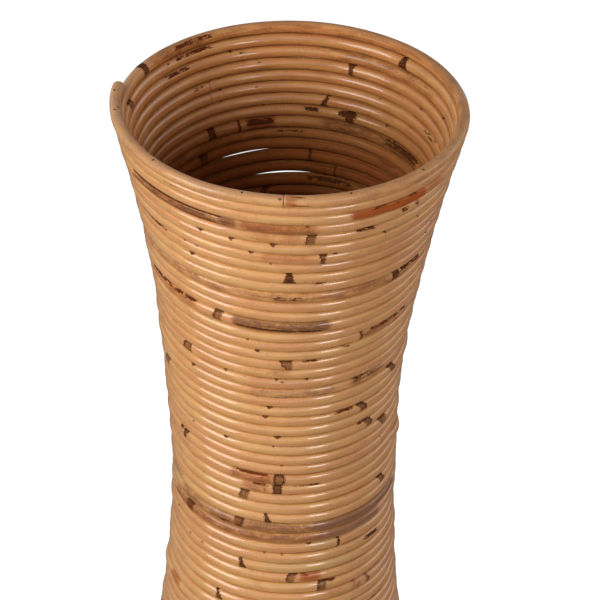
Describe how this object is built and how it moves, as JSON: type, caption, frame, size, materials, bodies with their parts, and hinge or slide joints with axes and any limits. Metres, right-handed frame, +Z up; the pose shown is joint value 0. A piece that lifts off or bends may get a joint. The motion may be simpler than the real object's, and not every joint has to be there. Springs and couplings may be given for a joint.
{
  "type": "rattan floor vase",
  "caption": "Tall floor vase with a flared mouth, a drawn-in waist and a flared foot, wound from whole rattan canes over a board base.",
  "frame": {"origin": "middle of the foot, on the surface the vase stands on", "axes": "+Z up along the vase, -Y to the front, the side that the picture shows, and +X to the right seen from the front"},
  "size_m": [0.2521, 0.2515, 0.6099],
  "materials": {
    "cane": "clear lacquered rattan cane, honey coloured with dark nodes",
    "board": "bare plywood, clear sealed",
    "brad": "dark blued steel"
  },
  "bodies": {
    "root": {"cane_01": "cane", "cane_02": "cane", "cane_03": "cane", "cane_04": "cane", "cane_05": "cane", "cane_06": "cane", "cane_07": "cane", "cane_08": "cane", "cane_09": "cane", "cane_10": "cane", "cane_11": "cane", "base_board": "board", "rim_brad_1": "brad", "rim_brad_2": "brad", "rim_brad_3": "brad", "rim_brad_4": "brad", "rim_brad_5": "brad", "rim_brad_6": "brad", "joint_brad_01": "brad", "joint_brad_02": "brad", "joint_brad_03": "brad", "joint_brad_04": "brad", "joint_brad_05": "brad", "joint_brad_06": "brad", "joint_brad_07": "brad", "joint_brad_08": "brad", "joint_brad_09": "brad", "joint_brad_10": "brad", "joint_brad_11": "brad", "joint_brad_12": "brad", "joint_brad_13": "brad", "joint_brad_14": "brad", "joint_brad_15": "brad", "joint_brad_16": "brad", "foot_brad_1": "brad", "foot_brad_2": "brad", "foot_brad_3": "brad", "foot_brad_4": "brad", "foot_brad_5": "brad", "foot_brad_6": "brad"}
  },
  "joints": []
}
